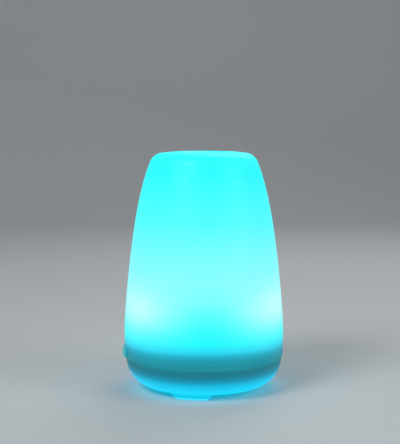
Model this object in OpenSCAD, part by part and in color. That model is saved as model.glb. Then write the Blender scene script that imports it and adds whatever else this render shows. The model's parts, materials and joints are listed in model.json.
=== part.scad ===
// Ultrasonic essential oil diffuser: a glowing lift-off cover over a water tank, on a low base that
// holds the fan, the circuit boards and the mist transducer. Millimetres, +Z up, the soles of the
// feet at z = 0. The front is -Y, the power inlet and the two keys are at the back, +Y.
// Angles around the body are measured from the front (-Y) towards +X.

/* [Cover] */
// Widest diameter of the body, on the cover
body_d = 91.2; // [90.8:0.1:92]
// Height from the table to the top of the cover
body_h = 135; // [134:0.5:138]
// Height of the widest place
belly_z = 35; // [32:0.5:38]
// How far the side leans in evenly between the belly and the shoulder
cover_lean = 10.2; // [9.8:0.1:10.6]
// How much more it bends in close to the shoulder
cover_bend = 3.3; // [2.8:0.1:3.8]
// Radius of the rounded shoulder
shoulder_r = 8; // [6:0.5:9]
// Wall of the cover
cover_wall = 1.8; // [1.5:0.1:1.9]
// Width of the lifting tab
tab_w = 10; // [6:0.5:12]
// Height of the lifting tab
tab_h = 6.2; // [5:0.1:9]
// How far the lifting tab stands out
tab_out = 1.1; // [0.8:0.1:2]
// Direction of the lifting tab
tab_angle = 277; // [264:1:284]

/* [Mist outlet] */
// Bore of the mist outlet
outlet_d = 13.2; // [10:0.1:14]
// Radius of the dish around the outlet
dish_r = 14; // [13:0.1:18]
// Depth of the dish
dish_depth = 1.4; // [0.8:0.1:1.6]
// Outer radius of the skirt of the mist guide
skirt_r = 29.5; // [27:0.1:29.8]

/* [Tank] */
// Inner diameter of the water tank
tank_d = 62; // [60:0.5:62]
// Height of the tank's rim
tank_rim_z = 66; // [64:0.5:68]
// Height of the moulded maximum-level ridge
level_z = 57; // [50:0.5:57.5]
// Wall of the tank
tank_wall = 1.8; // [1.5:0.1:2]

/* [Base] */
// Height of the joint line, at the top edge of the base
seam_z = 18.3; // [18.1:0.1:18.5]
// Gap between the cover and the base
seam_gap = 0.3; // [0.2:0.05:0.5]
// Radius of the base's flat underside
sole_r = 36.2; // [35.6:0.1:37]
// Direction of the first of the three feet
feet_turn = -14; // [-17:1:-10]
// Angle that a foot spans
foot_span = 36; // [28:1:40]

/* [Keys] */
// Width of a key
key_w = 10; // [8:0.1:11]
// Height of a key
key_h = 4.8; // [4:0.1:5]
// Height of the middle of the keys
key_z = 11.4; // [11.2:0.1:11.6]
// Angle between the back of the body and each key
key_angle = 30; // [26:1:34]
// How far the keys stand out
key_out = 0.8; // [0.5:0.1:1.2]

/* [Power inlet] */
// Bore of the round inlet, for a 5.5 mm plug
inlet_d = 6.2; // [6:0.1:6.4]
// Diameter of the centre contact, for a 2.1 mm plug
contact_d = 2; // [1.9:0.05:2.1]
// Height of the inlet's axis
inlet_z = 9.6; // [9.5:0.1:9.7]

/* [Hidden] */
$fn = 96;
belly_r = body_d / 2;
FEET = [0, 120, 240];

// Cover
cover_z = seam_z + seam_gap;
taper_end_z = body_h - 9.7;
shoulder_z = body_h - 0.7 - shoulder_r;
SHOULDER_FROM = 20;
SHOULDER_TO = 84;
shoulder_join_z = shoulder_z + shoulder_r * sin(SHOULDER_FROM);
function climb(z) = (z - belly_z) / (taper_end_z - belly_z);
function cover_r(z) = z > belly_z
    ? belly_r - cover_lean * pow(climb(z), 1.33) - cover_bend * pow(climb(z), 5.4)
    : belly_r - 0.15 * pow((belly_z - z) / (belly_z - cover_z), 2);
shoulder_mid_r = cover_r(shoulder_join_z) - shoulder_r * cos(SHOULDER_FROM);
function side_line(inset) = [
    for (i = [0:24])
        let (z = cover_z + (shoulder_join_z - cover_z) * i / 24) [cover_r(z) - inset, z]
];
function shoulder_line(inset) = [
    for (turn = [SHOULDER_FROM + 8:8:SHOULDER_TO])
        [shoulder_mid_r + (shoulder_r - inset) * cos(turn), shoulder_z + (shoulder_r - inset) * sin(turn)]
];
function backwards(list) = [for (i = [len(list) - 1:-1:0]) list[i]];
dish_z = body_h - dish_depth;
dish_floor_r = dish_r - 2.4;
sleeve_r = outlet_d / 2 + 1.4;
cover_hole_r = sleeve_r + 0.2;

// Base, an S-shaped side between its rim and its sole
sole_z = 3;
floor_z = 4.8;
foot_r = sole_r - 0.2;
rim_r = belly_r - 0.7;
rim_wall = 2.2;
ledge_z = seam_z - 2.9;
function curve(p, t) = pow(1 - t, 3) * p[0] + 3 * t * pow(1 - t, 2) * p[1]
    + 3 * t * t * (1 - t) * p[2] + pow(t, 3) * p[3];
OUTSIDE = [[rim_r, seam_z], [rim_r - 0.4, 9.8], [41, 5.8], [sole_r, sole_z]];
INSIDE = [[rim_r - 2.4, ledge_z], [rim_r - 2.5, 10.4], [39.4, 7.3], [sole_r - 0.8, floor_z]];
function base_outside(grow) = [for (i = [0:14]) curve(OUTSIDE, i / 14) + [grow, 0]];
function base_inside(grow) = [for (i = [0:14]) curve(INSIDE, i / 14) + [grow, 0]];

// Housing: the tank with the deck and the collar around it
tank_r = tank_d / 2;
cup_r = tank_r + tank_wall;
deck_z = 30.8;
deck_wall = 1.8;
collar_r = cover_r(cover_z) - cover_wall - 0.4;
spigot_r = rim_r - 2.6;
case_screw_r = 32.2;
case_joint_z = 12.4;
duct_half_w = 5.5;
duct_in_x = 33.9;
duct_out_x = 38.8;
SEAT = [13, 11.1];
clamp_z = 18.6;
clamp_wall = 1.2;
seat_z = clamp_z + clamp_wall;
clamp_ear_r = 14;
CLAMP_EARS = [30, 150, 270];

// Fan, 30 by 30 by 10
FAN = [-18, 0];
fan_z = 5.8;
fan_side = 30;
fan_h = 10;
fan_hole = 12;
fan_duct_r = 13.8;
hub_r = 8;
shaft_r = 0.8;
BLADES = 7;

// Boards
board_z = 8.4;
board_t = 1.6;
board_r = 36.5;
board_top = board_z + board_t;
BOARD_POSTS = [[20, -22], [22, 19], [-14, -26]];
led_board_z = 25.4;
led_board_top = led_board_z + board_t;
led_r = 37.7;
LED_ANGLES = [60, 180, 300];
PEG_ANGLES = [30, 145, 245, 325];
BASE_LEDS = [[8, -30], [31, -5], [-25, -19.5]];
CHIPS = [[8, -9, 7, 5], [19, -5, 5, 4]];
CAPACITORS = [[24, -13, 3.1, 7], [15.5, -15.5, 2.5, 5], [20.5, 8, 2.5, 5]];
FAN_PLUG = [-9.5, -20.2];
MIST_PLUG = [3, 14.5];
LED_PLUG = [27.4, 1];
plug_h = 5.5;
SINK = [4, -24];

// Power inlet
inlet_face_y = 39.8;
inlet_wall = 1.6;
inlet_depth = 8.8;
inlet_nose_r = 3.6;
inlet_nose_y = inlet_face_y - 0.2;
inlet_bottom_y = inlet_face_y - inlet_depth;
INLET_BODY_LOW = [-4.5, 27.2, 5.6];
INLET_BODY_HIGH = [4.5, 36.4, 14.2];
contact_tip_y = inlet_face_y - 0.8;
contact_root_r = 1.6;
flat_half_w = 7;
flat_top_z = inlet_z + 4.7;

// Keys
KEY_ANGLES = [180 - key_angle, 180 + key_angle];
key_gap = 0.3;
plunger_z = 12.4;
plunger_r = 1.5;

// Internal leads, points on each lead's own route
lead_r = 0.6;
plug_in_z = board_top + plug_h - 1;
FAN_ROUTE = [
    [-7.5, -15.1, 12.4], [-7.5, -15.9, 12.4], [-7.6, -16.6, 13.4], [-7.8, -17, 15.4],
    [-8.3, -18, 17.2], [-9.1, -19.4, 17.8], [-9.5, -20.2, 16.8], [-9.5, -20.2, plug_in_z]
];
MIST_ROUTE = [
    [1.5, 2.6, 21.35], [1.5, 2.8, 20], [1.7, 4, 18.4], [2, 7, 17.6],
    [2.6, 10.5, 17.8], [2.9, 13.4, 17.8], [3, 14.5, 16.6], [3, 14.5, plug_in_z]
];
LED_ROUTE = [
    [35.8, 0, 25.35], [35.7, 0, 23.8], [34.6, 0.1, 21.2], [32.4, 0.4, 18.8],
    [30, 0.7, 17.8], [28.4, 0.9, 17.6], [27.4, 1, 16.6], [27.4, 1, plug_in_z]
];

// Shared shapes

module toward(angle, r = 0) {
    rotate([0, 0, angle - 90]) translate([r, 0, 0]) children();
}

module block(low, high) {
    translate(low) cube(high - low);
}

module ring(r_out, r_in, z, h) {
    translate([0, 0, z]) difference() {
        cylinder(r = r_out, h = h);
        translate([0, 0, -1]) cylinder(r = r_in, h = h + 2);
    }
}

module arc_block(r_in, r_out, z, h, span) {
    rotate([0, 0, -span / 2]) rotate_extrude(angle = span) translate([r_in, z]) square([r_out - r_in, h]);
}

// A pan-head screw pointing up, with the underside of its head at z = 0
module screw(shank_r, shank_l, head_r, head_h) {
    slot = head_r * 0.28;
    difference() {
        union() {
            cylinder(r = shank_r, h = shank_l);
            translate([0, 0, -head_h]) cylinder(r = head_r, h = head_h);
        }
        for (turn = [0, 90])
            rotate([0, 0, turn]) translate([-head_r * 0.6, -slot / 2, -head_h - 1])
                cube([head_r * 1.2, slot, 1 + head_h * 0.5]);
    }
}

// A round lead swept along a route; side_axis is a direction that the route never follows
function smooth_route(p) = [
    for (i = [0:len(p) - 2], s = [0, 0.5])
        let (a = p[max(i - 1, 0)], b = p[i], c = p[i + 1], d = p[min(i + 2, len(p) - 1)])
            0.5 * (2 * b + (c - a) * s + (2 * a - 5 * b + 4 * c - d) * s * s
                + (3 * b - a - 3 * c + d) * s * s * s),
    p[len(p) - 1]
];
module lead(points, side_axis) {
    sides = 8;
    route = smooth_route(points);
    last = len(route) - 1;
    rings = [
        for (i = [0:last])
            let (
                ahead = route[min(i + 1, last)] - route[max(i - 1, 0)],
                u = cross(ahead, side_axis) / norm(cross(ahead, side_axis)),
                v = cross(ahead, u) / norm(ahead)
            )
            for (k = [0:sides - 1])
                route[i] + lead_r * (cos(360 * k / sides) * u + sin(360 * k / sides) * v)
    ];
    sleeve = [
        for (i = [0:last - 1], k = [0:sides - 1])
            let (n = (k + 1) % sides)
            [(i + 1) * sides + k, (i + 1) * sides + n, i * sides + n, i * sides + k]
    ];
    start = [[for (k = [0:sides - 1]) k]];
    end = [[for (k = [sides - 1:-1:0]) last * sides + k]];
    polyhedron(points = rings, faces = concat(sleeve, start, end), convexity = 4);
}

// Cover and mist path

module cover_shell() {
    tab_z = cover_z + tab_h;
    tab_root = cover_r(cover_z) - 1;
    tab_tip = cover_r(cover_z) + tab_out;
    color([0.45, 0.95, 0.97]) union() {
        rotate_extrude($fn = 180) polygon(concat(
            side_line(0),
            shoulder_line(0),
            [
                [dish_r, body_h],
                [dish_floor_r, dish_z],
                [cover_hole_r, dish_z],
                [cover_hole_r, dish_z - cover_wall],
                [dish_floor_r + 1.2, dish_z - cover_wall],
                [dish_r + 1, body_h - cover_wall - 0.1]
            ],
            backwards(shoulder_line(cover_wall)),
            backwards(side_line(cover_wall))
        ));
        toward(tab_angle) rotate([90, 0, 0]) translate([0, 0, -tab_w / 2]) linear_extrude(tab_w) polygon([
            [tab_root, cover_z],
            [tab_tip, cover_z],
            [tab_tip, cover_z + tab_h * 0.55],
            [cover_r(tab_z) - 0.1, tab_z],
            [tab_root, tab_z]
        ]);
    }
}

module mist_guide() {
    wall = 1.4;
    bottom_z = level_z + 2;
    top_z = dish_z - cover_wall;
    tube_r = cover_hole_r;
    color([0.82, 0.94, 0.95]) rotate_extrude() polygon([
        [skirt_r, bottom_z],
        [skirt_r, bottom_z + 9],
        [tube_r + wall, 114],
        [tube_r + wall, top_z],
        [tube_r, top_z],
        [tube_r, 113.4],
        [skirt_r - wall, bottom_z + 8.6],
        [skirt_r - wall, bottom_z]
    ]);
}

module outlet_ring() {
    bore = outlet_d / 2;
    flange_r = dish_floor_r - 0.6;
    color([0.75, 0.96, 0.97]) rotate_extrude() polygon([
        [bore, dish_z - 9],
        [sleeve_r, dish_z - 9],
        [sleeve_r, dish_z],
        [flange_r, dish_z],
        [flange_r, dish_z + 0.6],
        [flange_r - 0.5, dish_z + 1],
        [bore + 1, dish_z + 1],
        [bore, dish_z + 0.4]
    ]);
}

// Housing and mist unit

module tank_housing() {
    rim_bead = 0.6;
    floor_rise = 2.4;
    cup_floor_z = 25.8;
    tower_r = 40.4;
    color([0.84, 0.95, 0.96]) difference() {
        union() {
            rotate_extrude($fn = 180) polygon([
                [8.2, 24],
                [8.2, cup_floor_z],
                [tank_r, cup_floor_z + floor_rise],
                [tank_r, level_z - 0.4],
                [tank_r - 0.5, level_z],
                [tank_r - 0.5, level_z + 0.4],
                [tank_r, level_z + 0.8],
                [tank_r, tank_rim_z],
                [cup_r + rim_bead, tank_rim_z],
                [cup_r + rim_bead, tank_rim_z - 1.4],
                [cup_r, tank_rim_z - 2],
                [cup_r, deck_z],
                [collar_r - 0.8, deck_z],
                [collar_r, deck_z - 0.8],
                [collar_r, seam_z],
                [spigot_r, seam_z],
                [spigot_r, seam_z - 0.8],
                [spigot_r - 0.6, seam_z - 0.8],
                [spigot_r - 0.6, seam_z - 2],
                [spigot_r, seam_z - 2],
                [spigot_r, seam_z - 2.7],
                [spigot_r - 1.8, seam_z - 2.7],
                [spigot_r - 1.8, seam_z + 0.4],
                [collar_r - 1.8, seam_z + 2],
                [collar_r - 1.8, deck_z - deck_wall],
                [cup_r, deck_z - deck_wall],
                [cup_r, cup_floor_z + 0.5],
                [SEAT[0], 24],
                [SEAT[0], seat_z],
                [SEAT[1], seat_z],
                [SEAT[1], 24]
            ]);
            for (turn = FEET)
                toward(feet_turn + turn, case_screw_r) translate([0, 0, case_joint_z])
                    cylinder(r = 3.2, h = 27 - case_joint_z);
            for (ear = CLAMP_EARS)
                toward(ear, clamp_ear_r) translate([0, 0, seat_z]) cylinder(r = 2.4, h = 24.6 - seat_z);
            for (peg = PEG_ANGLES)
                toward(peg, led_r) {
                    translate([0, 0, led_board_z - 0.8]) cylinder(r = 0.9, h = 5);
                    translate([0, 0, led_board_top]) cylinder(r = 1.8, h = 2.2);
                }
            intersection() {
                block([-41, -duct_half_w - 1.5, deck_z - 1], [-cup_r + 1.3, duct_half_w + 1.5, tank_rim_z]);
                cylinder(r = tower_r, h = tank_rim_z);
            }
        }
        for (turn = FEET)
            toward(feet_turn + turn, case_screw_r) translate([0, 0, case_joint_z - 1])
                cylinder(r = 1.5, h = 23.6 - case_joint_z);
        for (ear = CLAMP_EARS)
            toward(ear, clamp_ear_r) translate([0, 0, seat_z - 1]) cylinder(r = 1, h = 4.4);
        block([-duct_out_x, -duct_half_w, deck_z - 5], [-duct_in_x, duct_half_w, tank_rim_z + 1]);
        block([-36, -duct_half_w + 0.5, level_z + 2], [-30, duct_half_w - 0.5, tank_rim_z - 1.6]);
    }
}

module air_outlet_cap() {
    color([0.8, 0.93, 0.94]) {
        intersection() {
            block([-41, -duct_half_w - 1.5, tank_rim_z], [-cup_r - 0.8, duct_half_w + 1.5, tank_rim_z + 1.4]);
            cylinder(r = 40.4, h = tank_rim_z + 2);
        }
        block(
            [-duct_out_x + 0.1, -duct_half_w + 0.1, tank_rim_z - 1.6],
            [-duct_in_x - 0.1, duct_half_w - 0.1, tank_rim_z]
        );
    }
}

module housing_seal() {
    color([0.25, 0.27, 0.28]) ring(rim_r - rim_wall, spigot_r - 0.6, seam_z - 2, 1.2);
}

module transducer_disc() {
    color([0.8, 0.72, 0.45]) translate([0, 0, 21.9]) cylinder(r = 10, h = 0.7);
}

module transducer_ceramic() {
    color([0.85, 0.85, 0.82]) translate([0, 0, 21.4]) cylinder(r = 8, h = 0.5);
}

module transducer_gasket() {
    color([0.2, 0.2, 0.22]) rotate_extrude() polygon([
        [8.3, seat_z],
        [SEAT[1], seat_z],
        [SEAT[1], 24],
        [8.3, 24],
        [8.3, 22.6],
        [10, 22.6],
        [10, 21.9],
        [8.3, 21.9]
    ]);
}

module transducer_clamp() {
    color([0.88, 0.88, 0.86]) difference() {
        union() {
            translate([0, 0, clamp_z]) cylinder(r = SEAT[0], h = clamp_wall);
            for (ear = CLAMP_EARS)
                toward(ear, clamp_ear_r) translate([0, 0, clamp_z]) cylinder(r = 2.8, h = clamp_wall);
        }
        translate([0, 0, clamp_z - 1]) cylinder(r = 8.3, h = clamp_wall + 2);
        for (ear = CLAMP_EARS)
            toward(ear, clamp_ear_r) translate([0, 0, clamp_z - 1]) cylinder(r = 1.1, h = clamp_wall + 2);
    }
}

module clamp_screws() {
    color("silver") for (ear = CLAMP_EARS)
        toward(ear, clamp_ear_r) translate([0, 0, clamp_z]) screw(0.95, 4, 1.9, 1.4);
}

// Base

module base_posts() {
    for (turn = FEET)
        toward(feet_turn + turn, case_screw_r) cylinder(r = 4.2, h = case_joint_z);
    for (x = [-fan_hole, fan_hole], y = [-fan_hole, fan_hole])
        translate([FAN[0] + x, FAN[1] + y, 0]) cylinder(r = 2.6, h = fan_z);
    for (post = BOARD_POSTS)
        translate([post[0], post[1], 0]) cylinder(r = 2.6, h = board_z);
}

module base_shell() {
    screw_recess_r = 2.7;
    color([0.35, 0.85, 0.97]) difference() {
        union() {
            rotate_extrude($fn = 180) polygon(concat(base_outside(0), [[0, sole_z], [0, seam_z]]));
            for (turn = FEET)
                toward(feet_turn + turn) arc_block(28.6, foot_r, 1, 2.5, foot_span);
        }
        difference() {
            rotate_extrude($fn = 180) polygon(concat(
                [[0, floor_z]],
                backwards(base_inside(0)),
                [[rim_r - rim_wall, ledge_z], [rim_r - rim_wall, seam_z + 1], [0, seam_z + 1]]
            ));
            base_posts();
            block(
                [-flat_half_w - 1.8, inlet_face_y - inlet_wall, 0],
                [flat_half_w + 1.8, belly_r + 5, flat_top_z + 1]
            );
        }
        for (turn = FEET)
            toward(feet_turn + turn, case_screw_r) {
                cylinder(r = screw_recess_r, h = 6);
                cylinder(r = 1.7, h = case_joint_z + 1);
            }
        for (x = [-fan_hole, fan_hole], y = [-fan_hole, fan_hole])
            translate([FAN[0] + x, FAN[1] + y, 3.8]) cylinder(r = 1.45, h = 4);
        for (post = BOARD_POSTS)
            translate([post[0], post[1], 4]) cylinder(r = 1.1, h = 6);
        for (slot = [-3:3])
            let (half = sqrt(pow(13, 2) - pow(slot * 3.6, 2)))
            block([FAN[0] + slot * 3.6 - 0.9, -half, 2], [FAN[0] + slot * 3.6 + 0.9, half, floor_z + 0.5]);
        block([-flat_half_w, inlet_face_y, 0], [flat_half_w, belly_r + 5, flat_top_z]);
        translate([0, inlet_face_y + 1, inlet_z]) rotate([90, 0, 0]) cylinder(r = inlet_nose_r + 0.1, h = 5);
        block(INLET_BODY_LOW - [0.1, 0.1, 0.1], INLET_BODY_HIGH + [0.1, 0.1, 0.1]);
        for (angle = KEY_ANGLES)
            toward(angle) block(
                [36, -key_w / 2 - key_gap, key_z - key_h / 2 - key_gap],
                [50, key_w / 2 + key_gap, key_z + key_h / 2 + key_gap]
            );
    }
}

module foot_pads() {
    color([0.3, 0.85, 0.97]) for (turn = FEET)
        toward(feet_turn + turn) arc_block(29.2, foot_r - 0.3, 0, 1, foot_span - 4.5);
}

module case_screws() {
    color("silver") for (turn = FEET)
        toward(feet_turn + turn, case_screw_r) translate([0, 0, 6]) screw(1.45, 15, 2.5, 1.8);
}

// Fan

module fan_frame() {
    mid = fan_side / 2;
    color([0.16, 0.16, 0.17]) translate([FAN[0], FAN[1], fan_z]) difference() {
        union() {
            difference() {
                block([-mid, -mid, 0], [mid, mid, fan_h]);
                translate([0, 0, -1]) cylinder(r = fan_duct_r, h = fan_h + 2);
            }
            cylinder(r = 7.5, h = 1.2);
            for (strut = [45:90:315])
                rotate([0, 0, strut]) block([6, -1, 0], [14.4, 1, 1.2]);
            cylinder(r = 3, h = 7.6);
        }
        translate([0, 0, 0.6]) cylinder(r = 2.2, h = 8);
        for (x = [-fan_hole, fan_hole], y = [-fan_hole, fan_hole])
            translate([x, y, -1]) cylinder(r = 1.6, h = fan_h + 2);
    }
}

module fan_bearing() {
    color([0.75, 0.55, 0.3]) translate([FAN[0], FAN[1], 0]) ring(2.2, shaft_r + 0.04, fan_z + 0.9, 6.5);
}

module fan_stator() {
    color([0.55, 0.55, 0.57]) translate([FAN[0], FAN[1], fan_z + 2.4]) difference() {
        union() {
            cylinder(r = 3.7, h = 4);
            for (pole = [0:90:270])
                rotate([0, 0, pole]) {
                    block([3, -0.8, 0], [5.2, 0.8, 4]);
                    intersection() {
                        block([4.9, -2.6, 0], [6, 2.6, 4]);
                        cylinder(r = 5.6, h = 4);
                    }
                }
        }
        translate([0, 0, -1]) cylinder(r = 3.05, h = 6);
    }
}

module fan_coils() {
    color([0.72, 0.4, 0.2]) translate([FAN[0], FAN[1], fan_z + 2]) for (pole = [0:90:270])
        rotate([0, 0, pole]) difference() {
            block([3.9, -1.7, 0], [4.8, 1.7, 4.8]);
            block([3, -0.85, 0.35], [6, 0.85, 4.45]);
        }
}

module fan_screws() {
    color("silver") for (x = [-fan_hole, fan_hole], y = [-fan_hole, fan_hole])
        translate([FAN[0] + x, FAN[1] + y, fan_z + fan_h]) rotate([180, 0, 0]) screw(1.4, 11.6, 2.4, 1.4);
}

module fan_rotor() {
    color([0.2, 0.2, 0.22]) translate([FAN[0], FAN[1], fan_z]) difference() {
        union() {
            ring(hub_r, hub_r - 0.9, 1.8, 7);
            translate([0, 0, 8.5]) cylinder(r = hub_r, h = 1);
            for (blade = [0:BLADES - 1])
                rotate([0, 0, 360 * blade / BLADES]) translate([7.6, 0, 5.4]) rotate([35, 0, 0])
                    translate([0, -0.45, -3.5]) cube([5.4, 0.9, 7]);
        }
        translate([0, 0, 8]) cylinder(r = shaft_r, h = 1.1);
    }
}

module fan_magnet() {
    color([0.3, 0.3, 0.32]) translate([FAN[0], FAN[1], 0]) ring(hub_r - 0.9, 6.1, fan_z + 2.2, 5.6);
}

module fan_shaft() {
    color([0.8, 0.8, 0.82]) translate([FAN[0], FAN[1], fan_z + 1.2]) cylinder(r = shaft_r, h = 7.9);
}

// Main board and what is on it

module main_board() {
    color([0.1, 0.42, 0.25]) difference() {
        translate([0, 0, board_z]) cylinder(r = board_r, h = board_t);
        block([-45, -fan_side / 2 - 0.6, 0], [FAN[0] + fan_side / 2 + 0.6, fan_side / 2 + 0.6, 20]);
        block(INLET_BODY_LOW - [0.4, 0.4, INLET_BODY_LOW[2]], [INLET_BODY_HIGH[0] + 0.4, 45, 20]);
        for (turn = FEET)
            toward(feet_turn + turn, case_screw_r) cylinder(r = 4.8, h = 20);
        for (post = BOARD_POSTS)
            translate([post[0], post[1], 0]) cylinder(r = 1.3, h = 20);
    }
}

module board_screws() {
    color("silver") for (post = BOARD_POSTS)
        translate([post[0], post[1], board_top]) rotate([180, 0, 0]) screw(1.05, 5, 2.2, 1.4);
}

module control_chips() {
    color([0.12, 0.12, 0.13]) for (chip = CHIPS)
        translate([chip[0], chip[1], board_top]) {
            block([-chip[2] / 2, -chip[3] / 2, 0.2], [chip[2] / 2, chip[3] / 2, 1.5]);
            for (leg = [-1.5:1:1.5], side = [-1, 1])
                translate([leg * chip[2] / 4.4 - 0.2, side * (chip[3] / 2 + 0.3) - 0.4, 0])
                    cube([0.4, 0.8, 0.7]);
        }
}

module power_coil() {
    color([0.3, 0.3, 0.31]) translate([11.5, 3, board_top]) rotate_extrude() polygon([
        [0, 0], [4, 0], [4, 1], [2.8, 1.4], [2.8, 4.4], [4, 4.8], [4, 5.8], [0, 5.8]
    ]);
}

module capacitors() {
    color([0.16, 0.2, 0.42]) for (can = CAPACITORS)
        translate([can[0], can[1], board_top]) rotate_extrude() polygon([
            [0, 0], [can[2], 0], [can[2], 0.9], [can[2] - 0.25, 1.2], [can[2], 1.5],
            [can[2], can[3] - 0.3], [can[2] - 0.3, can[3]], [0, can[3]]
        ]);
}

module drive_transistor() {
    color([0.14, 0.14, 0.15]) translate([SINK[0], SINK[1] + 1, board_top]) {
        block([-4, 0, 2], [4, 3, 10.5]);
        for (leg = [-2.3, 0, 2.3])
            block([leg - 0.4, 1, 0], [leg + 0.4, 1.6, 2]);
    }
}

module heat_sink() {
    color([0.72, 0.73, 0.75]) translate([SINK[0], SINK[1], board_top]) {
        block([-6, -0.5, 0], [6, 1, 11]);
        for (fin = [-5.2:2.6:5.2])
            block([fin - 0.4, -3, 0], [fin + 0.4, -0.5, 11]);
    }
}

module connector(place) {
    translate([place[0], place[1], board_top]) difference() {
        block([-3, -2.3, 0], [3, 2.3, plug_h]);
        block([-2.4, -1.8, plug_h - 1.2], [2.4, -1.1, plug_h + 1]);
        translate([0, 0, plug_h - 1.6]) cylinder(r = lead_r + 0.2, h = 3);
    }
}

module board_connectors() {
    color([0.93, 0.92, 0.88]) for (place = [FAN_PLUG, MIST_PLUG, LED_PLUG])
        connector(place);
}

// Power inlet

module dc_jack() {
    color([0.1, 0.1, 0.11]) difference() {
        union() {
            block(INLET_BODY_LOW, INLET_BODY_HIGH);
            translate([0, inlet_nose_y, inlet_z]) rotate([90, 0, 0])
                cylinder(r = inlet_nose_r, h = inlet_nose_y - INLET_BODY_HIGH[1] + 1);
        }
        translate([0, inlet_face_y + 1, inlet_z]) rotate([90, 0, 0])
            cylinder(r = inlet_d / 2, h = inlet_depth + 1);
        translate([0, inlet_face_y, inlet_z]) rotate([90, 0, 0])
            cylinder(r = contact_root_r, h = inlet_face_y - INLET_BODY_LOW[1] + 1);
    }
}

module dc_jack_pin() {
    contact_r = contact_d / 2;
    neck_r = contact_r * 0.7;
    root_l = inlet_bottom_y - INLET_BODY_LOW[1];
    tip_l = contact_tip_y - INLET_BODY_LOW[1];
    color([0.85, 0.83, 0.7]) translate([0, INLET_BODY_LOW[1], inlet_z]) rotate([-90, 0, 0])
        rotate_extrude($fn = 48) polygon([
            [0, 0],
            [contact_root_r, 0],
            [contact_root_r, root_l],
            [neck_r, root_l],
            [neck_r, root_l + 0.3],
            [contact_r, root_l + 0.3],
            [contact_r, tip_l - 0.4],
            [contact_r - 0.4, tip_l],
            [0, tip_l]
        ]);
}

module jack_terminals() {
    color([0.8, 0.8, 0.78]) {
        for (side = [-1, 1])
            translate([side * (INLET_BODY_HIGH[0] + 0.9) - 0.9, INLET_BODY_LOW[1] + 3, board_top])
                cube([1.8, 2.4, 0.5]);
        block(
            [-1.2, INLET_BODY_LOW[1] - 2.2, board_top],
            [1.2, INLET_BODY_LOW[1], board_top + 0.5]
        );
    }
}

// Keys and their switches

module key_switch(angle) {
    toward(angle) difference() {
        block([30.4, -3, board_top], [35.4, 3, board_top + 4.8]);
        translate([32.6, 0, plunger_z]) rotate([0, 90, 0]) cylinder(r = plunger_r + 0.07, h = 4);
    }
}

module switch_plunger(angle) {
    toward(angle) translate([33.6, 0, plunger_z]) rotate([0, 90, 0]) cylinder(r = plunger_r, h = 3.4);
}

module wall_sector(outside, inside, width, height) {
    intersection() {
        rotate_extrude($fn = 180) polygon(concat(outside, backwards(inside)));
        block([30, -width / 2, key_z - height / 2], [50, width / 2, key_z + height / 2]);
    }
}

module key(angle) {
    toward(angle) union() {
        wall_sector(base_outside(key_out), base_inside(-1.4), key_w, key_h);
        wall_sector(base_inside(-0.4), base_inside(-1.4), key_w + 2.4, key_h + 1.4);
        block([37, -1.5, plunger_z - 1.2], [42, 1.5, plunger_z + 1.2]);
        intersection() {
            rotate_extrude($fn = 180)
                polygon(concat(base_outside(key_out + 0.25), backwards(base_outside(0))));
            translate([38, 0, key_z]) rotate([0, 90, 0]) rotate([0, 0, 90])
                linear_extrude(12) children();
        }
    }
}

module drop_icon() {
    circle(r = 0.9);
    polygon([[-0.82, 0.35], [0.82, 0.35], [0, 1.7]]);
}

module light_icon() {
    circle(r = 0.75);
    for (ray = [0:60:300])
        rotate(ray) translate([1.05, -0.15]) square([0.6, 0.3]);
}

module mist_switch() { color([0.13, 0.13, 0.14]) key_switch(KEY_ANGLES[0]); }
module light_switch() { color([0.13, 0.13, 0.14]) key_switch(KEY_ANGLES[1]); }
module mist_switch_plunger() { color([0.9, 0.9, 0.88]) switch_plunger(KEY_ANGLES[0]); }
module light_switch_plunger() { color([0.9, 0.9, 0.88]) switch_plunger(KEY_ANGLES[1]); }
module mist_button() { color([0.7, 0.95, 0.98]) key(KEY_ANGLES[0]) drop_icon(); }
module light_button() { color([0.7, 0.95, 0.98]) key(KEY_ANGLES[1]) light_icon(); }

// Lights

module led_board() {
    color([0.92, 0.93, 0.92]) difference() {
        ring(collar_r - 2.1, cup_r + 1.4, led_board_z, board_t);
        block([-50, -12, 0], [-30, 12, 40]);
        for (turn = FEET)
            toward(feet_turn + turn, case_screw_r) cylinder(r = 3.8, h = 40);
        for (peg = PEG_ANGLES)
            toward(peg, led_r) cylinder(r = 1, h = 40);
    }
}

module led(z) {
    difference() {
        block([-2.5, -2.5, z], [2.5, 2.5, z + 1.6]);
        translate([0, 0, z + 1.2]) cylinder(r = 1.9, h = 1);
    }
}

module leds() {
    color([0.95, 0.97, 1]) for (angle = LED_ANGLES)
        toward(angle, led_r) led(led_board_top);
}

module base_leds() {
    color([0.9, 0.96, 1]) for (place = BASE_LEDS)
        translate([place[0], place[1], board_z]) rotate([180, 0, 0]) led(0);
}

// Leads

module fan_lead() { color([0.75, 0.1, 0.1]) lead(FAN_ROUTE, [1, 0, 0]); }
module transducer_lead() { color([0.85, 0.85, 0.85]) lead(MIST_ROUTE, [1, 0, 0]); }
module led_lead() { color([0.2, 0.3, 0.7]) lead(LED_ROUTE, [0, 1, 0]); }

cover_shell();
mist_guide();
outlet_ring();
tank_housing();
air_outlet_cap();
housing_seal();
transducer_disc();
transducer_ceramic();
transducer_gasket();
transducer_clamp();
clamp_screws();
base_shell();
foot_pads();
case_screws();
fan_frame();
fan_bearing();
fan_stator();
fan_coils();
fan_screws();
fan_rotor();
fan_magnet();
fan_shaft();
main_board();
board_screws();
control_chips();
power_coil();
capacitors();
drive_transistor();
heat_sink();
board_connectors();
dc_jack();
dc_jack_pin();
jack_terminals();
mist_switch();
light_switch();
mist_button();
mist_switch_plunger();
light_button();
light_switch_plunger();
led_board();
leds();
base_leds();
fan_lead();
transducer_lead();
led_lead();
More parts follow.
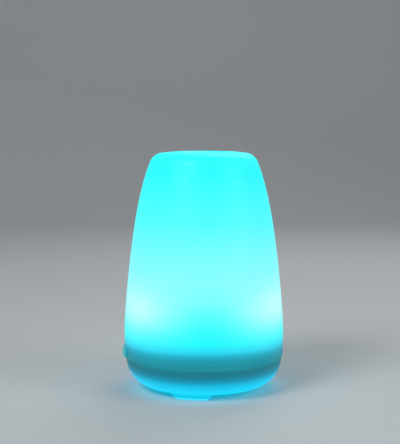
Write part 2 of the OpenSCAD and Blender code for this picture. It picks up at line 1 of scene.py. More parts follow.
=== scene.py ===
"""Essential oil diffuser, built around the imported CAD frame: a glowing milky cover on a low base.

Metres, +Z up, soles of the feet at z = 0, front -Y. Angles around the body are measured from the
front (-Y) towards +X. The frame's boxes give the sizes; the constants below are the shape's own.
"""
import json
import math

import bmesh
import bpy
from mathutils import Matrix, Vector


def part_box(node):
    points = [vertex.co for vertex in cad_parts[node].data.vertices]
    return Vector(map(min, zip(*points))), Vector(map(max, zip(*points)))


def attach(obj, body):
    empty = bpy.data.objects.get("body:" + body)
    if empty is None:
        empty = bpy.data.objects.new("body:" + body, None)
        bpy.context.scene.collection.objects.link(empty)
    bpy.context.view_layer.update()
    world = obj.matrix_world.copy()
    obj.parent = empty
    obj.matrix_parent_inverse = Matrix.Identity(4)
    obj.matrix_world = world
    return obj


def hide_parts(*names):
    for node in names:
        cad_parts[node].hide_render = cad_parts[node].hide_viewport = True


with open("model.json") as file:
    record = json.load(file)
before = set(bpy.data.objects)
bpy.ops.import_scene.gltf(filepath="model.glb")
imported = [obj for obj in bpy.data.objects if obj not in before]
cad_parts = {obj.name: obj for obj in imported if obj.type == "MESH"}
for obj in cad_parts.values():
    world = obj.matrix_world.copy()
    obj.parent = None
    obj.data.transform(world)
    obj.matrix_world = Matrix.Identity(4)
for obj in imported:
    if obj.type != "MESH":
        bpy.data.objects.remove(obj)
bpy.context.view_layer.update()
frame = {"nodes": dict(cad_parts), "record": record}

MM = 0.001
TURN = 2 * math.pi

# ---------------------------------------------------------------- sizes, from the frame where it has them

cover_low, cover_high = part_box("cover_shell")

BELLY_R = cover_high.x
BODY_H = cover_high.z
COVER_Z = cover_low.z
SEAM_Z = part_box("base_shell")[1].z
PAD_TOP_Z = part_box("foot_pads")[1].z
BELLY_Z = 35 * MM
COVER_LEAN = 10.2 * MM
LEAN_CURVE = 1.33
COVER_BEND = 3.3 * MM
BEND_CURVE = 5.4
COVER_WALL = 1.8 * MM
SHOULDER_R = 8 * MM
SHOULDER_Z = BODY_H - 0.7 * MM - SHOULDER_R
SHOULDER_FROM = math.radians(20)
SHOULDER_TO = math.radians(84)
TAPER_END_Z = BODY_H - 9.7 * MM
DISH_R = 14 * MM
DISH_FLOOR_R = DISH_R - 2.4 * MM
DISH_Z = BODY_H - 1.4 * MM
OUTLET_R = 6.6 * MM
SLEEVE_R = 8 * MM
SLEEVE_Z = DISH_Z - 9 * MM
FLANGE_R = DISH_R - 3 * MM
FLANGE_Z = DISH_Z + 1 * MM
HOLE_R = 8.2 * MM

TAB_W = 10 * MM
TAB_H = 6.2 * MM
TAB_OUT = 1.1 * MM
TAB_ANGLE = math.radians(277)

SOLE_Z = 3 * MM
FLOOR_Z = 4.8 * MM
SOLE_R = 36.2 * MM
RIM_R = BELLY_R - 0.7 * MM
RIM_WALL = 2.2 * MM
LEDGE_Z = SEAM_Z - 2.9 * MM
SIDE_OUTSIDE = [
    (RIM_R, SEAM_Z),
    (RIM_R - 0.4 * MM, 9.8 * MM),
    (41 * MM, 5.8 * MM),
    (SOLE_R, SOLE_Z),
]
SIDE_INSIDE = [
    (RIM_R - 2.4 * MM, LEDGE_Z),
    (RIM_R - 2.5 * MM, 10.4 * MM),
    (39.4 * MM, 7.3 * MM),
    (SOLE_R - 0.8 * MM, FLOOR_Z),
]
FOOT_R = SOLE_R - 0.2 * MM
FOOT_INNER_R = 28.6 * MM
PAD_R = FOOT_R - 0.3 * MM
PAD_INNER_R = 29.2 * MM
FEET = [math.radians(-14 + turn) for turn in (0, 120, 240)]
FOOT_SPAN = math.radians(36)
PAD_SPAN = math.radians(31.5)

KEY_ANGLES = [math.radians(150), math.radians(210)]
KEY_W = 10 * MM
KEY_H = 4.8 * MM
KEY_Z = 11.4 * MM
KEY_GAP = 0.3 * MM
KEY_OUT = 0.8 * MM
INLET_Z = 9.6 * MM
INLET_FACE_Y = 39.8 * MM
INLET_FLAT_HALF_W = 7 * MM
INLET_FLAT_TOP_Z = INLET_Z + 4.7 * MM
INLET_WALL = 1.6 * MM
INLET_HOLE_R = 3.7 * MM
FAN_X = -18 * MM
SLOTS_R = 13 * MM
SLOT_PITCH = 3.6 * MM
SLOT_W = 1.8 * MM

# ---------------------------------------------------------------- camera

CAMERA_AZIMUTH = math.radians(-3)
CAMERA_DISTANCE = 600 * MM
CAMERA_HEIGHT = 154.5 * MM
CAMERA_PITCH = math.radians(5.69)
CAMERA_YAW = math.radians(-0.21)
CAMERA_LENS = 85.46


def make_camera():
    data = bpy.data.cameras.new("camera")
    data.lens = CAMERA_LENS
    data.sensor_width = 36
    camera = bpy.data.objects.new("camera", data)
    bpy.context.scene.collection.objects.link(camera)
    camera.location = (
        CAMERA_DISTANCE * math.sin(CAMERA_AZIMUTH),
        -CAMERA_DISTANCE * math.cos(CAMERA_AZIMUTH),
        CAMERA_HEIGHT,
    )
    camera.rotation_euler = (math.pi / 2 - CAMERA_PITCH, 0, CAMERA_AZIMUTH - CAMERA_YAW)
    bpy.context.scene.camera = camera
    return camera


make_camera()

# ---------------------------------------------------------------- mesh helpers


def new_object(name, bm, material, sharp=35):
    """A smooth-shaded object with its edges over `sharp` degrees kept crisp."""
    bmesh.ops.recalc_face_normals(bm, faces=bm.faces)
    for face in bm.faces:
        face.smooth = True
    for edge in bm.edges:
        if len(edge.link_faces) == 2:
            edge.smooth = edge.calc_face_angle(0) < math.radians(sharp)
    mesh = bpy.data.meshes.new(name)
    bm.to_mesh(mesh)
    bm.free()
    mesh.materials.append(material)
    obj = bpy.data.objects.new(name, mesh)
    bpy.context.scene.collection.objects.link(obj)
    return obj


def facing(angle):
    """Turns +X to point outwards at that angle around the body."""
    return Matrix.Rotation(angle - math.pi / 2, 4, "Z")


def lathe_mesh(outline, segments=192):
    """A closed ring from a closed outline of (r, z) points; points on the axis meet in one vertex."""
    bm = bmesh.new()
    rings = []
    for r, z in outline:
        if r < 1e-7:
            rings.append([bm.verts.new((0, 0, z))])
        else:
            rings.append([
                bm.verts.new((r * math.cos(TURN * k / segments), r * math.sin(TURN * k / segments), z))
                for k in range(segments)
            ])
    for a, b in zip(rings, rings[1:] + rings[:1]):
        if len(a) == 1 and len(b) == 1:
            continue
        for k in range(segments):
            n = (k + 1) % segments
            corners = [a[k % len(a)], a[n % len(a)], b[n % len(b)], b[k % len(b)]]
            bm.faces.new(list(dict.fromkeys(corners)))
    return bm


def rounded(outline, radius, steps=3, corner=25):
    """Rounds every corner sharper than `corner` degrees of a closed (r, z) outline."""
    result = []
    count = len(outline)
    for i, point in enumerate(outline):
        here = Vector(point)
        before = Vector(outline[i - 1]) - here
        after = Vector(outline[(i + 1) % count]) - here
        bend = math.pi - before.angle(after)
        if point[0] < 1e-7 or bend < math.radians(corner):
            result.append(point)
            continue
        reach = min(radius * math.tan(bend / 2), before.length * 0.45, after.length * 0.45)
        start = here + before.normalized() * reach
        end = here + after.normalized() * reach
        for step in range(steps + 1):
            t = step / steps
            p = start * (1 - t) ** 2 + here * 2 * t * (1 - t) + end * t * t
            result.append((p.x, p.y))
    return result


def block_mesh(low, high, matrix=None):
    bm = bmesh.new()
    bmesh.ops.create_cube(bm, size=1)
    size = Vector(high) - Vector(low)
    middle = (Vector(high) + Vector(low)) / 2
    bmesh.ops.scale(bm, vec=size, verts=bm.verts)
    bmesh.ops.translate(bm, vec=middle, verts=bm.verts)
    if matrix is not None:
        bmesh.ops.transform(bm, matrix=matrix, verts=bm.verts)
    return bm


def cylinder_mesh(r, depth, matrix, segments=64):
    """A cylinder along +Z from z = 0, then moved by the matrix."""
    bm = bmesh.new()
    bmesh.ops.create_cone(bm, cap_ends=True, segments=segments, radius1=r, radius2=r, depth=depth)
    bmesh.ops.translate(bm, vec=(0, 0, depth / 2), verts=bm.verts)
    bmesh.ops.transform(bm, matrix=matrix, verts=bm.verts)
    return bm


def joined(bms):
    """Several closed meshes in one, as separate shells."""
    result = bmesh.new()
    for bm in bms:
        mesh = bpy.data.meshes.new("part")
        bm.to_mesh(mesh)
        bm.free()
        result.from_mesh(mesh)
        bpy.data.meshes.remove(mesh)
    return result


def combine(obj, bm, operation, material):
    """Cuts a mesh from obj or adds it, and bakes the result into obj's mesh."""
    tool = new_object("tool", bm, material)
    modifier = obj.modifiers.new("cut", "BOOLEAN")
    modifier.operation = operation
    modifier.object = tool
    modifier.solver = "EXACT"
    modifier.use_self = True
    depsgraph = bpy.context.evaluated_depsgraph_get()
    mesh = bpy.data.meshes.new_from_object(obj.evaluated_get(depsgraph))
    obj.modifiers.clear()
    obj.data = mesh
    bpy.data.objects.remove(tool)
    crisp(obj)


def crisp(obj, sharp=32):
    """Smooth shading with crisp edges over that many degrees."""
    bm = bmesh.new()
    bm.from_mesh(obj.data)
    bmesh.ops.remove_doubles(bm, verts=bm.verts, dist=1e-7)
    for face in bm.faces:
        face.smooth = True
    for edge in bm.edges:
        edge.smooth = len(edge.link_faces) == 2 and edge.calc_face_angle(0) < math.radians(sharp)
    bm.to_mesh(obj.data)
    bm.free()


def bevel(obj, width, segments=2, angle=35):
    """Rounds the crisp edges and bakes the result into the mesh."""
    modifier = obj.modifiers.new("round", "BEVEL")
    modifier.width = width
    modifier.segments = segments
    modifier.limit_method = "ANGLE"
    modifier.angle_limit = math.radians(angle)
    modifier.harden_normals = False
    depsgraph = bpy.context.evaluated_depsgraph_get()
    mesh = bpy.data.meshes.new_from_object(obj.evaluated_get(depsgraph))
    obj.modifiers.clear()
    obj.data = mesh
    crisp(obj)


# ---------------------------------------------------------------- material helpers


class Nodes:
    """A short way to build a node tree: every method returns the socket that carries its result."""

    def __init__(self, name):
        self.material = bpy.data.materials.new(name)
        self.material.use_nodes = True
        self.tree = self.material.node_tree
        self.shader = self.tree.nodes["Principled BSDF"]

    def add(self, kind, **settings):
        node = self.tree.nodes.new(kind)
        for key, value in settings.items():
            setattr(node, key, value)
        return node

    def put(self, socket, value):
        if isinstance(value, bpy.types.NodeSocket):
            self.tree.links.new(value, socket)
        elif socket.type == "RGBA" and len(value) == 3:
            socket.default_value = (*value, 1)
        else:
            socket.default_value = value

    def set(self, **inputs):
        for name, value in inputs.items():
            self.put(self.shader.inputs[name.replace("_", " ")], value)

    def position(self):
        return self.add("ShaderNodeTexCoord").outputs["Object"]

    def split(self, vector):
        node = self.add("ShaderNodeSeparateXYZ")
        self.put(node.inputs[0], vector)
        return node.outputs

    def math(self, operation, a, b=None, clamp=False):
        node = self.add("ShaderNodeMath", operation=operation, use_clamp=clamp)
        self.put(node.inputs[0], a)
        if b is not None:
            self.put(node.inputs[1], b)
        return node.outputs[0]

    def ramp(self, value, stops, smooth=True):
        """stops is a list of (position, colour)."""
        node = self.add("ShaderNodeValToRGB")
        node.color_ramp.interpolation = "EASE" if smooth else "LINEAR"
        elements = node.color_ramp.elements
        while len(elements) < len(stops):
            elements.new(0.5)
        for element, (place, colour) in zip(elements, stops):
            element.position = place
            element.color = (*colour, 1)
        self.put(node.inputs[0], value)
        return node.outputs[0]

    def remap(self, value, low, high, to_low=0.0, to_high=1.0):
        node = self.add("ShaderNodeMapRange", interpolation_type="SMOOTHSTEP")
        for i, limit in enumerate((low, high, to_low, to_high)):
            node.inputs[i + 1].default_value = limit
        self.put(node.inputs[0], value)
        return node.outputs[0]

    def noise(self, scale, detail=3.0, roughness=0.5, vector=None, stretch=None):
        node = self.add("ShaderNodeTexNoise")
        node.inputs["Scale"].default_value = scale
        node.inputs["Detail"].default_value = detail
        node.inputs["Roughness"].default_value = roughness
        source = vector or self.position()
        if stretch:
            mapping = self.add("ShaderNodeMapping")
            mapping.inputs["Scale"].default_value = stretch
            self.put(mapping.inputs[0], source)
            source = mapping.outputs[0]
        self.put(node.inputs["Vector"], source)
        return node.outputs["Fac"]

    def mix(self, factor, a, b, blend="MIX"):
        node = self.add("ShaderNodeMix", data_type="RGBA", blend_type=blend)
        self.put(node.inputs[0], factor)
        self.put(node.inputs[6], a)
        self.put(node.inputs[7], b)
        return node.outputs[2]

    def bump(self, height, strength, distance=0.0001):
        node = self.add("ShaderNodeBump")
        node.inputs["Strength"].default_value = strength
        node.inputs["Distance"].default_value = distance
        self.put(node.inputs["Height"], height)
        self.put(self.shader.inputs["Normal"], node.outputs[0])


def shade(colour, factor):
    """The colour, lighter or darker by that factor."""
    return tuple(min(1.0, c * factor) for c in colour)


def moulded(name, colour, roughness=0.45, grain=0.12, grain_scale=3500, spread=0.12, **shader):
    """Moulded plastic: fine spark-eroded grain, slight cloudiness and uneven gloss."""
    n = Nodes(name)
    cloud = n.noise(90, 4)
    n.set(Base_Color=n.mix(cloud, shade(colour, 1 - spread), shade(colour, 1 + spread)))
    n.set(Roughness=n.remap(n.noise(260, 3), 0.3, 0.7, roughness - 0.06, roughness + 0.06), **shader)
    n.bump(n.noise(grain_scale, 2), grain)
    return n


def metal(name, colour, roughness=0.3, brushed=None, spread=0.08):
    """Metal with fine scratches, stretched along one axis when brushed."""
    n = Nodes(name)
    scratches = n.noise(900, 4, 0.6, stretch=brushed or (1, 1, 1))
    n.set(Base_Color=n.mix(scratches, shade(colour, 1 - spread), shade(colour, 1 + spread)))
    n.set(Metallic=1.0, Roughness=n.remap(scratches, 0.3, 0.7, roughness - 0.08, roughness + 0.1))
    n.bump(scratches, 0.08, 0.00005)
    return n


# ---------------------------------------------------------------- glowing plastics

# Colours of the painted glow: the painted hot spot beside the diodes, and the painted shade on the tab and in
# the dish.
HOT = (0.52, 0.84, 0.84)
LED_ANGLES = [math.radians(60), math.radians(180), math.radians(300)]
LED_GLOW_Z = 50 * MM
LED_GLOW_SPREAD = 12 * MM
LED_GLOW_FOCUS = 5.2
LED_GLOW_REACH = 1.1 * MM
DISH_LIGHT = (0.01, 0.34, 0.37)
TAB_LIGHT = (0.045, 0.27, 0.30)


def from_axis(n, x, y):
    """The distance from the body's upright axis."""
    return n.math("SQRT", n.math("ADD", n.math("MULTIPLY", x, x), n.math("MULTIPLY", y, y)))


def towards_leds(n, x, y):
    """1 in the direction of each light-emitting diode, falling smoothly to 0 between them."""
    radius = from_axis(n, x, y)
    total = None
    for angle in LED_ANGLES:
        along = n.math("ADD", n.math("MULTIPLY", x, math.sin(angle)), n.math("MULTIPLY", y, -math.cos(angle)))
        share = n.math("MAXIMUM", n.math("DIVIDE", along, radius), 0.0)
        share = n.math("POWER", share, LED_GLOW_FOCUS)
        total = share if total is None else n.math("ADD", total, share)
    return total


def near_height(n, z):
    """1 at the height where the diodes' light is strongest, falling smoothly to 0 above and below."""
    height = n.math("DIVIDE", n.math("SUBTRACT", z, LED_GLOW_Z), LED_GLOW_SPREAD)
    return n.math("POWER", math.e, n.math("MULTIPLY", n.math("MULTIPLY", height, height), -1.0))


def glowing(name, colour, stops, low, high, hot, roughness):
    """Milky plastic with a painted glow from inside: the painted light falls off with height and is hottest
    beside the diodes.
    """
    n = Nodes(name)
    x, y, z = n.split(n.position())
    height = z
    if hot:
        aside = towards_leds(n, x, y)
        height = n.math("ADD", z, n.math("MULTIPLY", aside, LED_GLOW_REACH))
    level = n.math("DIVIDE", n.math("SUBTRACT", height, low), high - low)
    light = n.ramp(level, [((s - low) / (high - low), c) for s, c in stops], smooth=False)
    if hot:
        # Painted hot spots beside the diodes, a painted darker tab and painted shade in the dish.
        light = n.mix(n.math("MULTIPLY", aside, near_height(n, z), clamp=True), light, HOT)
        on_tab = n.remap(from_axis(n, x, y), BELLY_R + 0.1 * MM, BELLY_R + 0.8 * MM)
        light = n.mix(on_tab, light, TAB_LIGHT)
        in_dish = n.remap(from_axis(n, x, y), DISH_R - 2.6 * MM, DISH_R + 0.3 * MM, 0.55, 0.0)
        light = n.mix(in_dish, light, DISH_LIGHT)
    cloud = n.noise(45, 3)
    light = n.mix(n.remap(cloud, 0.3, 0.7, 0.0, 0.06), light, shade(colour, 0.9))
    n.set(Base_Color=n.mix(cloud, shade(colour, 0.92), shade(colour, 1.06)))
    n.set(Roughness=n.remap(n.noise(220, 3), 0.3, 0.7, roughness - 0.05, roughness + 0.07))
    n.set(Emission_Color=light, Emission_Strength=1.0, IOR=1.49, Specular_IOR_Level=0.25)
    n.bump(n.noise(2600, 2), 0.07)
    return n.material


def cover_plastic():
    # Painted glow up the cover: a painted dark band just above the seam, full glow from about 33 mm up,
    # whiter around the middle of its height.
    stops = [
        (COVER_Z, (0.010, 0.15, 0.19)),
        (20 * MM, (0.005, 0.075, 0.12)),
        (24 * MM, (0.004, 0.14, 0.21)),
        (26.5 * MM, (0.004, 0.27, 0.41)),
        (29 * MM, (0.015, 0.54, 0.73)),
        (33 * MM, (0.006, 0.80, 0.82)),
        (40 * MM, (0.015, 0.81, 0.82)),
        (48 * MM, (0.066, 0.81, 0.82)),
        (56 * MM, (0.18, 0.81, 0.82)),
        (66 * MM, (0.245, 0.81, 0.82)),
        (77 * MM, (0.205, 0.81, 0.82)),
        (98 * MM, (0.08, 0.81, 0.82)),
        (124 * MM, (0.017, 0.81, 0.82)),
        (BODY_H, (0.02, 0.81, 0.82)),
    ]
    return glowing("cover_plastic", (0.008, 0.29, 0.32), stops, COVER_Z, BODY_H, True, 0.45)


def base_plastic():
    # Painted glow in the base: brightest low down, with a painted dark band under the seam.
    stops = [
        (0.0, (0.002, 0.35, 0.60)),
        (4 * MM, (0.002, 0.60, 0.80)),
        (6.6 * MM, (0.002, 0.54, 0.84)),
        (9.6 * MM, (0.002, 0.40, 0.62)),
        (12 * MM, (0.002, 0.18, 0.30)),
        (14.5 * MM, (0.004, 0.075, 0.13)),
        (17.2 * MM, (0.005, 0.05, 0.075)),
        (SEAM_Z, (0.010, 0.13, 0.16)),
    ]
    return glowing("base_plastic", (0.006, 0.22, 0.27), stops, 0.0, SEAM_Z, False, 0.42)


COVER_PLASTIC = cover_plastic()
BASE_PLASTIC = base_plastic()

# ---------------------------------------------------------------- cover


def cover_r(z):
    if z > BELLY_Z:
        climb = (z - BELLY_Z) / (TAPER_END_Z - BELLY_Z)
        return BELLY_R - COVER_LEAN * climb ** LEAN_CURVE - COVER_BEND * climb ** BEND_CURVE
    return BELLY_R - 0.15 * MM * ((BELLY_Z - z) / (BELLY_Z - COVER_Z)) ** 2


SHOULDER_JOIN_Z = SHOULDER_Z + SHOULDER_R * math.sin(SHOULDER_FROM)
SHOULDER_MID_R = cover_r(SHOULDER_JOIN_Z) - SHOULDER_R * math.cos(SHOULDER_FROM)


def side_line(inset, steps=60):
    heights = [COVER_Z + (SHOULDER_JOIN_Z - COVER_Z) * i / steps for i in range(steps + 1)]
    return [(cover_r(z) - inset, z) for z in heights]


def shoulder_line(inset, steps=14):
    turns = [SHOULDER_FROM + (SHOULDER_TO - SHOULDER_FROM) * (i + 1) / steps for i in range(steps)]
    r = SHOULDER_R - inset
    return [(SHOULDER_MID_R + r * math.cos(t), SHOULDER_Z + r * math.sin(t)) for t in turns]


def make_cover():
    outline = (
        side_line(0)
        + shoulder_line(0)
        + [
            (DISH_R + 5 * MM, BODY_H - 0.18 * MM),
            (DISH_R, BODY_H),
            (DISH_FLOOR_R, DISH_Z),
            (HOLE_R, DISH_Z),
            (HOLE_R, DISH_Z - COVER_WALL),
            (DISH_FLOOR_R + 1.2 * MM, DISH_Z - COVER_WALL),
            (DISH_R + 1 * MM, BODY_H - COVER_WALL - 0.1 * MM),
        ]
        + list(reversed(shoulder_line(COVER_WALL)))
        + list(reversed(side_line(COVER_WALL)))
    )
    cover = new_object("cover_skin", lathe_mesh(rounded(outline, 0.45 * MM)), COVER_PLASTIC)
    combine(cover, tab_mesh(), "UNION", COVER_PLASTIC)
    bevel(cover, 0.25 * MM, angle=40)
    return cover


def tab_mesh():
    """The lifting tab: full height at its lower part, sloping back into the side above."""
    root = cover_r(COVER_Z) - 1 * MM
    tip = cover_r(COVER_Z) + TAB_OUT
    top = COVER_Z + TAB_H
    outline = [
        (root, COVER_Z),
        (tip, COVER_Z),
        (tip, COVER_Z + TAB_H * 0.55),
        (cover_r(top) - 0.1 * MM, top),
        (root, top),
    ]
    bm = bmesh.new()
    sides = [
        [bm.verts.new((r, y, z)) for r, z in outline]
        for y in (-TAB_W / 2, TAB_W / 2)
    ]
    bm.faces.new(sides[0])
    bm.faces.new(list(reversed(sides[1])))
    count = len(outline)
    for i in range(count):
        n = (i + 1) % count
        bm.faces.new([sides[0][n], sides[0][i], sides[1][i], sides[1][n]])
    bmesh.ops.transform(bm, matrix=facing(TAB_ANGLE), verts=bm.verts)
    bmesh.ops.recalc_face_normals(bm, faces=bm.faces)
    return bm


cover = make_cover()
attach(cover, "cover")
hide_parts("cover_shell")


def make_outlet_ring():
    outline = [
        (OUTLET_R, SLEEVE_Z),
        (SLEEVE_R, SLEEVE_Z),
        (SLEEVE_R, DISH_Z),
        (FLANGE_R, DISH_Z),
        (FLANGE_R, FLANGE_Z - 0.4 * MM),
        (FLANGE_R - 0.5 * MM, FLANGE_Z),
        (OUTLET_R + 1 * MM, FLANGE_Z),
        (OUTLET_R, FLANGE_Z - 0.6 * MM),
    ]
    # Painted shade down the bore, with the painted glow lighter towards the top.
    stops = [
        (SLEEVE_Z, (0.005, 0.10, 0.12)),
        (DISH_Z - 1 * MM, (0.01, 0.30, 0.34)),
        (DISH_Z + 0.3 * MM, (0.02, 0.55, 0.6)),
        (BODY_H, (0.03, 0.68, 0.72)),
    ]
    material = glowing("outlet_plastic", (0.12, 0.6, 0.62), stops, SLEEVE_Z, BODY_H, False, 0.3)
    return new_object("outlet_nozzle", lathe_mesh(rounded(outline, 0.25 * MM), 128), material)


outlet = make_outlet_ring()
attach(outlet, "cover")
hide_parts("outlet_ring")

# ---------------------------------------------------------------- base


def curve_line(points, steps=40):
    """A smooth curve from the first of four points to the last, pulled towards the middle two."""
    p = [Vector(q) for q in points]
    line = []
    for i in range(steps + 1):
        t = i / steps
        q = p[0] * (1 - t) ** 3 + p[1] * 3 * t * (1 - t) ** 2 + p[2] * 3 * t * t * (1 - t) + p[3] * t ** 3
        line.append((q.x, q.y))
    return line


def base_cutters():
    """The flat for the plug, the inlet's hole, the two key holes and the air slots."""
    half_w = INLET_FLAT_HALF_W
    cutters = [block_mesh((-half_w, INLET_FACE_Y, -5 * MM), (half_w, BELLY_R + 5 * MM, INLET_FLAT_TOP_Z))]
    through_wall = Matrix.Translation((0, INLET_FACE_Y + 1 * MM, INLET_Z))
    through_wall = through_wall @ Matrix.Rotation(math.pi / 2, 4, "X")
    cutters.append(cylinder_mesh(INLET_HOLE_R, 6 * MM, through_wall))
    hole_w = KEY_W / 2 + KEY_GAP
    hole_h = KEY_H / 2 + KEY_GAP
    for angle in KEY_ANGLES:
        cutters.append(
            block_mesh((37 * MM, -hole_w, KEY_Z - hole_h), (50 * MM, hole_w, KEY_Z + hole_h), facing(angle))
        )
    for slot in range(-3, 4):
        offset = slot * SLOT_PITCH
        half = math.sqrt(SLOTS_R ** 2 - offset ** 2)
        low = (FAN_X + offset - SLOT_W / 2, -half, 0)
        high = (FAN_X + offset + SLOT_W / 2, half, FLOOR_Z + 1 * MM)
        cutters.append(block_mesh(low, high))
    return joined(cutters)


def make_base():
    outline = (
        curve_line(SIDE_OUTSIDE)
        + [(0, SOLE_Z), (0, FLOOR_Z)]
        + list(reversed(curve_line(SIDE_INSIDE)))
        + [(RIM_R - RIM_WALL, LEDGE_Z), (RIM_R - RIM_WALL, SEAM_Z)]
    )
    base = new_object("base_skin", lathe_mesh(rounded(outline, 0.5 * MM, corner=40)), BASE_PLASTIC)
    combine(base, inlet_wall(), "UNION", BASE_PLASTIC)
    combine(base, base_cutters(), "DIFFERENCE", BASE_PLASTIC)
    return base


def inlet_wall():
    """The thicker wall behind the flat for the plug, kept just inside the base's side."""
    half_w = INLET_FLAT_HALF_W + 1.8 * MM
    low = (-half_w, INLET_FACE_Y - INLET_WALL, FLOOR_Z - 0.5 * MM)
    high = (half_w, INLET_FACE_Y + 3 * MM, INLET_FLAT_TOP_Z + 1 * MM)
    wall = new_object("wall", block_mesh(low, high), BASE_PLASTIC)
    side = [(r - 0.3 * MM, z) for r, z in curve_line(SIDE_OUTSIDE)]
    combine(wall, lathe_mesh(side + [(0, SOLE_Z), (0, SEAM_Z)]), "INTERSECT", BASE_PLASTIC)
    bm = bmesh.new()
    bm.from_mesh(wall.data)
    bpy.data.objects.remove(wall)
    return bm


base = make_base()
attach(base, "base")
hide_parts("base_shell")


def arc_mesh(r_in, r_out, z_low, z_high, span_low, span_high, steps=36):
    """A curved block with slanted ends: its top spans more of the circle than its bottom."""
    bm = bmesh.new()
    rows = []
    for i in range(steps + 1):
        t = i / steps - 0.5
        row = []
        for r, z, span in (
            (r_in, z_low, span_low), (r_out, z_low, span_low),
            (r_out, z_high, span_high), (r_in, z_high, span_high),
        ):
            row.append(bm.verts.new((r * math.cos(t * span), r * math.sin(t * span), z)))
        rows.append(row)
    bm.faces.new(rows[0])
    bm.faces.new(list(reversed(rows[-1])))
    for a, b in zip(rows, rows[1:]):
        for k in range(4):
            n = (k + 1) % 4
            bm.faces.new([a[n], a[k], b[k], b[n]])
    bmesh.ops.recalc_face_normals(bm, faces=bm.faces)
    return bm


def make_foot(index, angle):
    """One arc-shaped foot under the base, moulded with it."""
    top = SOLE_Z + 0.3 * MM
    bm = arc_mesh(FOOT_INNER_R, FOOT_R, PAD_TOP_Z, top, PAD_SPAN + 0.03, FOOT_SPAN + 0.02)
    bmesh.ops.transform(bm, matrix=facing(angle), verts=bm.verts)
    foot = new_object(f"foot_{index}", bm, BASE_PLASTIC)
    bevel(foot, 0.3 * MM)
    return foot


def make_pad(index, angle, material):
    """The soft sole of a foot."""
    bm = arc_mesh(PAD_INNER_R, PAD_R, 0, PAD_TOP_Z, PAD_SPAN - 0.05, PAD_SPAN)
    bmesh.ops.transform(bm, matrix=facing(angle), verts=bm.verts)
    pad = new_object(f"foot_pad_{index}", bm, material)
    bevel(pad, 0.25 * MM)
    return pad


# Painted glow on the pads, lighter towards their tops.
PAD_SILICONE = glowing(
    "pad_silicone", (0.1, 0.45, 0.55), [(0, (0.006, 0.5, 0.72)), (2 * MM, (0.008, 0.66, 0.86))],
    0, 2 * MM, False, 0.5,
)
for index, angle in enumerate(FEET):
    foot = make_foot(index, angle)
    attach(foot, "base")
    pad = make_pad(index, angle, PAD_SILICONE)
    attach(pad, "base")
    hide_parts("foot_pads")

# ---------------------------------------------------------------- materials of the CAD pieces


def board_material(name, mask, copper):
    """Printed circuit board: solder mask over a faint pattern of tracks."""
    n = Nodes(name)
    cells = n.add("ShaderNodeTexVoronoi", feature="DISTANCE_TO_EDGE")
    cells.inputs["Scale"].default_value = 260
    n.put(cells.inputs["Vector"], n.position())
    tracks = n.remap(cells.outputs["Distance"], 0.06, 0.09, 1.0, 0.0)
    n.set(Base_Color=n.mix(tracks, mask, copper), Roughness=n.remap(n.noise(300), 0.3, 0.7, 0.25, 0.4))
    n.bump(tracks, 0.15)
    return n


def led_material():
    """Clear lens with a bright die in the middle."""
    n = Nodes("led_lens")
    glow = n.noise(400, 2)
    n.set(Base_Color=(0.85, 0.95, 0.97), Roughness=n.remap(glow, 0.3, 0.7, 0.12, 0.2))
    n.set(Emission_Color=n.mix(glow, (0.2, 0.95, 1.0), (0.6, 1.0, 1.0)), Emission_Strength=3.0)
    return n


def frosted_with_painted_glow(name, colour, light, strength, roughness):
    """Natural polypropylene with a painted glow, standing in for the light it picks up around it."""
    n = moulded(name, colour, roughness, grain=0.06, spread=0.04, IOR=1.49)
    cloud = n.noise(60, 3)
    n.set(Emission_Color=n.mix(cloud, shade(light, 0.85), light), Emission_Strength=strength)
    n.set(Subsurface_Weight=0.15, Subsurface_Scale=0.004)
    return n


def side_r(height):
    """The radius of the base's side at that height."""
    line = curve_line(SIDE_OUTSIDE)
    for (r_up, z_up), (r_down, z_down) in zip(line, line[1:]):
        if z_down <= height <= z_up:
            return r_down + (r_up - r_down) * (height - z_down) / (z_up - z_down)
    raise ValueError(f"the base has no side at {height}")


def on_icon(n, x, y, z):
    """1 where a key stands out further than its own curved face, on its raised icon."""
    reach = KEY_H / 2
    low_r, mid_r, high_r = (side_r(KEY_Z + step) for step in (-reach, 0, reach))
    slope = (high_r - low_r) / (2 * reach)
    bend = (high_r + low_r - 2 * mid_r) / (2 * reach * reach)
    height = n.math("SUBTRACT", z, KEY_Z)
    curve = n.math("MULTIPLY", height, n.math("ADD", n.math("MULTIPLY", height, bend), slope))
    face = n.math("ADD", curve, mid_r + KEY_OUT)
    return n.remap(n.math("SUBTRACT", from_axis(n, x, y), face), 0.1 * MM, 0.18 * MM)


def key_material():
    n = Nodes("key_plastic")
    x, y, z = n.split(n.position())
    # Painted glow, lighter towards the bottom of the key.
    level = n.remap(z, KEY_Z - 3 * MM, KEY_Z + 3 * MM)
    light = n.ramp(level, [(0, (0.006, 0.34, 0.45)), (1, (0.008, 0.20, 0.26))], False)
    icon = on_icon(n, x, y, z)
    n.set(Base_Color=n.mix(icon, (0.10, 0.55, 0.62), (0.01, 0.05, 0.06)))
    n.set(Emission_Color=n.mix(icon, light, (0.0, 0.02, 0.03)), Emission_Strength=1.0)
    n.set(Roughness=n.remap(n.noise(260, 3), 0.3, 0.7, 0.26, 0.38))
    n.bump(n.noise(3500, 2), 0.05)
    return n


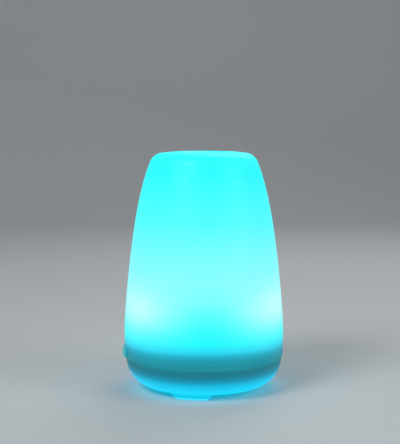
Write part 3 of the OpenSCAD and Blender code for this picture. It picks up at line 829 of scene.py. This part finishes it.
FINISHES = {
    "clear_pp": lambda: frosted_with_painted_glow("clear_pp", (0.55, 0.85, 0.87), (0.03, 0.55, 0.6), 0.5, 0.35),
    "housing_plastic": lambda: frosted_with_painted_glow("housing_plastic", (0.5, 0.82, 0.85), (0.02, 0.5, 0.55), 0.5, 0.38),
    "seal_rubber": lambda: moulded("seal_rubber", (0.03, 0.032, 0.035), 0.6, 0.3),
    "disc_metal": lambda: metal("disc_metal", (0.78, 0.75, 0.68), 0.22),
    "ceramic": lambda: moulded("ceramic", (0.75, 0.75, 0.72), 0.35, 0.15, 1800),
    "clamp_plastic": lambda: moulded("clamp_plastic", (0.78, 0.78, 0.76)),
    "screw_steel": lambda: metal("screw_steel", (0.62, 0.62, 0.64), 0.3),
    "black_plastic": lambda: moulded("black_plastic", (0.012, 0.012, 0.014), 0.42, 0.25, 2500),
    "bronze": lambda: metal("bronze", (0.6, 0.4, 0.2), 0.4),
    "core_steel": lambda: metal("core_steel", (0.4, 0.4, 0.42), 0.4, (1, 1, 30)),
    "copper_wire": lambda: metal("copper_wire", (0.6, 0.22, 0.08), 0.3, (1, 1, 40)),
    "magnet": lambda: moulded("magnet", (0.035, 0.035, 0.038), 0.55, 0.3, 1500),
    "green_board": lambda: board_material("green_board", (0.01, 0.09, 0.035), (0.03, 0.19, 0.07)),
    "white_board": lambda: board_material("white_board", (0.72, 0.76, 0.74), (0.82, 0.85, 0.83)),
    "chip_epoxy": lambda: moulded("chip_epoxy", (0.014, 0.014, 0.015), 0.5, 0.3, 3000),
    "can_sleeve": lambda: moulded("can_sleeve", (0.012, 0.02, 0.09), 0.25, 0.05),
    "sink_aluminium": lambda: metal("sink_aluminium", (0.7, 0.71, 0.73), 0.32, (1, 1, 25)),
    "connector_plastic": lambda: moulded("connector_plastic", (0.72, 0.68, 0.58), 0.4),
    "contact_metal": lambda: metal("contact_metal", (0.72, 0.7, 0.62), 0.2),
    "key_plastic": key_material,
    "led_lens": led_material,
    "red_lead": lambda: moulded("red_lead", (0.36, 0.01, 0.01), 0.35),
    "white_lead": lambda: moulded("white_lead", (0.7, 0.7, 0.7), 0.35),
    "blue_lead": lambda: moulded("blue_lead", (0.012, 0.03, 0.22), 0.35),
}


def finish_cad_nodes():
    """Gives every CAD node that stays visible its own finish, from the record's slot for that node."""
    slots = {part["node"]: part["material_slot"] for part in frame["record"]["subparts"]}
    made = {}
    for name, obj in frame["nodes"].items():
        slot = slots[name]
        if slot not in FINISHES:
            continue
        if slot not in made:
            made[slot] = FINISHES[slot]().material
        for place in range(max(1, len(obj.material_slots))):
            if place >= len(obj.material_slots):
                obj.data.materials.append(made[slot])
            obj.material_slots[place].material = made[slot]


finish_cad_nodes()

# ---------------------------------------------------------------- stage and light


def make_stage():
    """A pale table top that curves up behind into a pale wall."""
    n = Nodes("stage")
    n.set(Base_Color=(0.62, 0.63, 0.64), Roughness=0.75)
    bm = bmesh.new()
    depth, width, bend = 0.9, 3.0, 0.5
    line = [(-2.0, 0.0), (depth, 0.0)]
    for i in range(1, 13):
        turn = math.pi / 2 * i / 12
        line.append((depth + bend * math.sin(turn), bend * (1 - math.cos(turn))))
    line.append((depth + bend, 2.5))
    rows = [[bm.verts.new((x, y, z)) for x in (-width, width)] for y, z in line]
    for a, b in zip(rows, rows[1:]):
        bm.faces.new([a[0], a[1], b[1], b[0]])
    stage = new_object("stage", bm, n.material, sharp=60)
    return stage


def make_light(name, location, target, size, power, colour=(1, 1, 1)):
    data = bpy.data.lights.new(name, "AREA")
    data.shape = "DISK"
    data.size = size
    data.energy = power
    data.color = colour
    light = bpy.data.objects.new(name, data)
    bpy.context.scene.collection.objects.link(light)
    light.location = location
    light.rotation_euler = (Vector(target) - Vector(location)).to_track_quat("-Z", "Y").to_euler()
    return light


def make_world():
    world = bpy.data.worlds.new("studio")
    world.use_nodes = True
    world.node_tree.nodes["Background"].inputs[0].default_value = (0.9, 0.94, 1.0, 1)
    world.node_tree.nodes["Background"].inputs[1].default_value = 0.25
    bpy.context.scene.world = world


make_stage()
make_world()
middle = (0, 0, 0.07)
make_light("key", (-0.55, -0.55, 0.75), middle, 0.5, 4.5)
make_light("fill", (0.7, -0.4, 0.45), middle, 0.6, 2.0)
make_light("back", (0.25, 0.55, 0.7), middle, 0.6, 1.6)
bpy.context.scene.view_settings.view_transform = "Standard"
